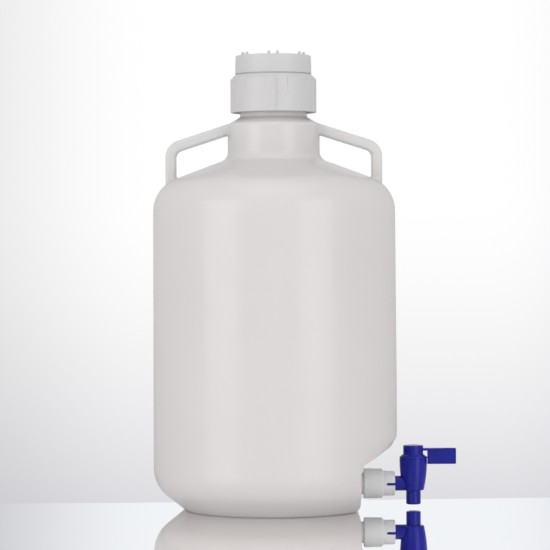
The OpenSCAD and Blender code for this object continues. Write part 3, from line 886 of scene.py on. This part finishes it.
class CARBOY_OT_closure(bpy.types.Operator):
    """Ribbed screw ring, lid with nubs, and the lid's gasket"""

    bl_idname = "carboy.closure"
    bl_label = "Closure"

    def execute(self, context):
        size = context.scene.carboy_closure
        neck_r = context.scene.carboy_bottle.neck_d / 2
        plastic = milky_plastic("white_polypropylene", tuple(size.colour), 0.3, rough=(0.34, 0.44))
        self.ring(size, neck_r, plastic)
        self.lid(size, plastic)
        dress("lid_gasket", rubber("pale_foam", (0.62, 0.60, 0.56)))
        return {"FINISHED"}

    def ring(self, size, neck_r, plastic):
        """The ring: ribbed outside, threaded inside, hollow between."""
        r = size.ring_d / 2
        bore = neck_r + 3.1 * MM
        wall_r = bore + 2.4 * MM
        skirt_r = r - 3.0 * MM
        lid_z = foot_of("closure_lid")
        lip_r = 43.2 * MM
        room_r = 45.0 * MM
        pocket_top = RING_FOOT + 31.8 * MM
        profile = rounded_path(
            [
                (bore, RING_FOOT + 0.2 * MM, 0.6 * MM),
                (wall_r, RING_FOOT + 0.2 * MM, 0.5 * MM),
                (wall_r, pocket_top, 1.0 * MM),
                (skirt_r, pocket_top, 1.0 * MM),
                (skirt_r, RING_FOOT, 0.4 * MM),
                (r, RING_FOOT, 0.9 * MM),
                (r, RING_TOP - 5.4 * MM, 1.6 * MM),
                (r - 5.2 * MM, RING_TOP, 0.7 * MM),
                (lip_r, RING_TOP, 0.3 * MM),
                (lip_r, RING_TOP - 3 * MM, 0.3 * MM),
                (room_r, RING_TOP - 3 * MM, 0.2 * MM),
                (room_r, lid_z - 0.3 * MM, 0.3 * MM),
                (bore, lid_z - 0.3 * MM - (room_r - bore), 0.5 * MM),
            ],
            step=math.radians(12),
            closed=True,
        )
        profile = spaced(np.concatenate([profile, profile[:1]]), lambda z: 3.0 * MM)[:-1]
        period = math.radians(60)
        first = size.grip_turn - math.pi / 2

        def grooved(reach, z, turn):
            if reach < skirt_r + 0.6 * MM:
                return np.full(len(turn), reach)
            phase = (turn - first + period / 2) % period - period / 2
            arc = phase * r
            depth = size.groove_depth * np.exp(-((arc / (0.75 * MM)) ** 2))
            upper = np.clip((z - (RING_TOP - 27 * MM)) / (12 * MM), 0, 1)
            for side in (-1, 1):
                short = arc - side * math.radians(15) * r
                depth += 0.75 * MM * upper * np.exp(-((short / (0.55 * MM)) ** 2))
            return reach - depth

        shell = skin(turned_rows(profile, even_turn(720), grooved), closed=True)
        web = (wall_r - 0.4 * MM, skirt_r + 0.4 * MM, -1 * MM, 1 * MM)
        web += (RING_FOOT + 0.6 * MM, pocket_top + 0.4 * MM)
        webs = [block(*web, math.radians(30 * i)) for i in range(12)]
        ridge = helix_ridge(bore, neck_r + 0.7 * MM, RIM_Z - 23 * MM, **NECK_THREAD)
        piece = link_mesh("closure_ring_form", *joined(shell, ridge, *webs), sharp=50.0)
        finish_piece(piece, plastic, "ring", "white_plastic", "closure_ring")

    def lid(self, size, plastic):
        """The lid: a hollow crown with a snap flange below and pairs of nubs on top."""
        foot, top = foot_of("closure_lid"), top_of("closure_lid")
        nub_h = 3.8 * MM
        crown_top = top - nub_h
        crown_z = RING_TOP + 1.4 * MM
        snap_top = foot + 2.7 * MM
        crown_r, waist_r, wall = 44.5 * MM, 42.9 * MM, 2.8 * MM
        profile = rounded_path(
            [
                (0, crown_top, 0),
                (crown_r - 0.6 * MM, crown_top, 1.3 * MM),
                (crown_r, crown_z, 0.6 * MM),
                (waist_r, crown_z, 0.3 * MM),
                (waist_r, snap_top, 0.2 * MM),
                (crown_r - 0.1 * MM, snap_top, 0.3 * MM),
                (crown_r - 0.1 * MM, foot, 0.8 * MM),
                (34.5 * MM, foot, 0.3 * MM),
                (34.5 * MM, snap_top, 0.3 * MM),
                (waist_r - wall, snap_top, 0.8 * MM),
                (waist_r - wall, crown_z, 0.8 * MM),
                (crown_r - wall, crown_z + wall, 0.8 * MM),
                (crown_r - wall - 0.6 * MM, crown_top - wall, 1.0 * MM),
                (0, crown_top - wall, 0),
            ],
            step=math.radians(12),
        )
        profile = spaced(profile, lambda z: 6.0 * MM)[1:-1]
        parts = [skin(turned_rows(profile, even_turn(240)))]
        nub_r = 1.7 * MM
        corners = [(0.05 * MM, nub_h, 0), (nub_r, nub_h, 1.65 * MM), (nub_r, -0.6 * MM, 0)]
        nub = rounded_path(corners)
        nub[:, 1] += crown_top
        for i in range(size.nub_pairs):
            for side in (-1, 1):
                points, faces = skin(turned_rows(nub, even_turn(24)))
                way = math.radians(i * 360 / size.nub_pairs - 90)
                shift = turned((38 * MM, side * 4.9 * MM), way)
                parts.append(([(x + shift[0], y + shift[1], z) for x, y, z in points], faces))
        piece = link_mesh("closure_lid_form", *joined(*parts), sharp=50.0)
        finish_piece(piece, plastic, "lid", "white_plastic", "closure_lid")


class CARBOY_OT_tap(bpy.types.Operator):
    """Outlet nut, its gasket, and the tap with its lever and seals"""

    bl_idname = "carboy.tap"
    bl_label = "Outlet and tap"

    def execute(self, context):
        size = context.scene.carboy_tap
        blue = moulded_plastic(
            "blue_polyethylene",
            tuple(size.blue),
            rough=(0.15, 0.22),
            grain=0.06,
            drift=0.10,
            specular=0.20,
        )
        white = milky_plastic("white_nut_polypropylene", tuple(size.nut), 0.3, rough=(0.34, 0.44))
        dress("outlet_nut", white)
        dress("outlet_gasket", rubber("grey_gasket_rubber", tuple(size.gasket)))
        for node in ("tap_body", "tap_plug", "tap_lever"):
            dress(node, blue)
        black = rubber("black_seal_rubber", (0.02, 0.02, 0.022))
        for node in ("inner_stem_seal", "outer_stem_seal", "lower_plug_seal", "upper_plug_seal"):
            dress(node, black)
        return {"FINISHED"}


class CARBOY_OT_stage(bpy.types.Operator):
    """Table top, room, softboxes and camera"""

    bl_idname = "carboy.stage"
    bl_label = "Stage"

    def execute(self, context):
        size = context.scene.carboy_stage
        self.table()
        self.room(context, size)
        self.lamps(size)
        self.camera(context, size)
        context.scene.view_settings.view_transform = "Standard"
        return {"FINISHED"}

    def table(self):
        """A polished pale sheet under the bottle."""
        count = len(TABLE_CORNERS)
        points = [(x, y, z) for z in (-0.008, 0.0) for x, y in TABLE_CORNERS]
        faces = [tuple(range(count)), tuple(range(count, 2 * count))]
        faces += [(i, (i + 1) % count, count + (i + 1) % count, count + i) for i in range(count)]
        sheet = link_mesh("table_top", points, faces, sharp=30.0)
        f = Finish("polished_acrylic")
        matt = f.add("ShaderNodeBsdfDiffuse", Color=(0.92, 0.92, 0.93, 1))
        # The gloss colour goes above one, so the sheet's reflection comes out brighter than what
        # it mirrors: painted light in the reflection.
        gloss = f.add("ShaderNodeBsdfAnisotropic", Color=(1.06, 1.05, 1.04, 1), Roughness=0.0)
        look = f.add("ShaderNodeLayerWeight", Blend=0.5)
        share = f.ranged(look.outputs["Facing"], 0.35, 1.0, 0.3, 0.87)
        sheen = f.mixed(share, matt.outputs["BSDF"], gloss.outputs["BSDF"])
        f.join(sheen, f.out.inputs["Surface"])
        sheet.data.materials.append(f.material)

    def room(self, context, size):
        """Even light from all sides, with a pale backdrop that the eye and polished faces see."""
        world = bpy.data.worlds.new("pale_room")
        context.scene.world = world
        n = Nodes(world)
        axis = n.add("ShaderNodeSeparateXYZ")
        n.join(n.add("ShaderNodeTexCoord").outputs["Generated"], axis.inputs[0])
        path = n.add("ShaderNodeLightPath")

        # The backdrop fades from grey at its foot to white just above the horizon.
        down = n.maths("POWER", n.ranged(axis.outputs["Z"], 1.0, 0.0, -0.14, 0.02), 1.6)
        tone = n.tint(down, (1.0, 1.0, 1.0), (0.58, 0.57, 0.62))
        off = n.maths("ABSOLUTE", n.maths("SUBTRACT", axis.outputs["X"], 0.02))
        ends = n.ranged(off, 1.0, 0.77, 0.064, 0.17, shape="SMOOTHSTEP")
        seen = n.tint(1.0, tone, ends, blend="MULTIPLY")

        # Mirror rays see the foot of the backdrop dimmed, to tone the table's reflection down.
        foot = n.ranged(axis.outputs["Z"], 1.0, 0.0, 0.16, 0.30, shape="SMOOTHSTEP")
        behind = n.maths("GREATER_THAN", axis.outputs["Y"], 0.0)
        mirrored = n.maths("MULTIPLY", foot, behind)
        mirrored = n.maths("MULTIPLY", mirrored, path.outputs["Is Singular Ray"])
        darker = n.tint(1.0, (0.83, 0.857, 0.895), ends, blend="MULTIPLY")
        backdrop = n.add("ShaderNodeBackground")
        n.join(n.tint(mirrored, seen, darker, blend="MULTIPLY"), backdrop.inputs["Color"])

        even = n.add("ShaderNodeBackground", Color=(1.0, 0.995, 0.985, 1), Strength=size.sky)
        direct = n.maths("MAXIMUM", path.outputs["Is Camera Ray"], path.outputs["Is Glossy Ray"])
        direct = n.maths("MAXIMUM", direct, path.outputs["Is Transmission Ray"])
        light = n.mixed(direct, even.outputs["Background"], backdrop.outputs["Background"])
        n.join(light, n.add("ShaderNodeOutputWorld").inputs["Surface"])

    def lamps(self, size):
        """Soft boxes at the left, the right and above."""
        for name, place, aim, width, height, power in (
            ("left_softbox", (-1.36, -1.18, 0.62), (0, 0, 0.27), 1.1, 1.2, 8.8),
            ("right_softbox", (1.12, -1.41, 0.62), (0, 0, 0.27), 1.0, 1.2, 7.7),
            ("top_softbox", (0.0, -0.5, 1.9), (0, 0, 0.3), 1.4, 1.4, 4.5),
        ):
            light = bpy.data.lights.new(name, "AREA")
            light.shape = "RECTANGLE"
            light.size, light.size_y = width, height
            light.energy = power * size.softboxes
            light.color = (1.0, 0.985, 0.965)
            lamp = bpy.data.objects.new(name, light)
            lamp.location = place
            lamp.rotation_euler = (Vector(aim) - Vector(place)).to_track_quat("-Z", "Y").to_euler()
            bpy.context.scene.collection.objects.link(lamp)

    def camera(self, context, size):
        """A long lens just above the table, a shade off level."""
        lens = bpy.data.cameras.new("camera")
        lens.sensor_width = 36.0
        lens.lens = 2524.0 / 550.0 * lens.sensor_width
        lens.clip_end = 50.0
        camera = bpy.data.objects.new("camera", lens)
        camera.matrix_world = (
            Matrix.Translation((0.00059, -size.camera_distance, size.camera_height))
            @ Matrix.Rotation(math.pi / 2 - 0.01236, 4, "X")
            @ Matrix.Rotation(-0.006, 4, "Z")
        )
        context.scene.collection.objects.link(camera)
        context.scene.camera = camera


class CARBOY_PT_panel(bpy.types.Panel):
    """Lists the carboy's pieces"""

    bl_label = "Carboy"
    bl_idname = "CARBOY_PT_panel"
    bl_space_type = "VIEW_3D"
    bl_region_type = "UI"
    bl_category = "Carboy"

    def draw(self, context):
        layout = self.layout
        for name, operator in SECTIONS:
            box = layout.box()
            group = getattr(context.scene, name)
            for key in group.__annotations__:
                box.prop(group, key)
            box.operator(operator.bl_idname)


GROUPS = (
    ("carboy_bottle", CarboyBottle),
    ("carboy_handles", CarboyHandles),
    ("carboy_closure", CarboyClosure),
    ("carboy_tap", CarboyTap),
    ("carboy_stage", CarboyStage),
)
SECTIONS = (
    ("carboy_bottle", CARBOY_OT_bottle),
    ("carboy_handles", CARBOY_OT_handles),
    ("carboy_closure", CARBOY_OT_closure),
    ("carboy_tap", CARBOY_OT_tap),
    ("carboy_stage", CARBOY_OT_stage),
)


def register():
    """Registers the settings, the operators and the panel."""
    for name, group in GROUPS:
        bpy.utils.register_class(group)
        setattr(bpy.types.Scene, name, PointerProperty(type=group))
    for _, operator in SECTIONS:
        bpy.utils.register_class(operator)
    bpy.utils.register_class(CARBOY_PT_panel)


def unregister():
    """Takes the settings, the operators and the panel away again."""
    bpy.utils.unregister_class(CARBOY_PT_panel)
    for _, operator in reversed(SECTIONS):
        bpy.utils.unregister_class(operator)
    for name, group in reversed(GROUPS):
        delattr(bpy.types.Scene, name)
        bpy.utils.unregister_class(group)


def main():
    register()
    bpy.ops.carboy.bottle()
    bpy.ops.carboy.handles()
    bpy.ops.carboy.closure()
    bpy.ops.carboy.tap()
    bpy.ops.carboy.stage()


if __name__ == "__main__":
    main()
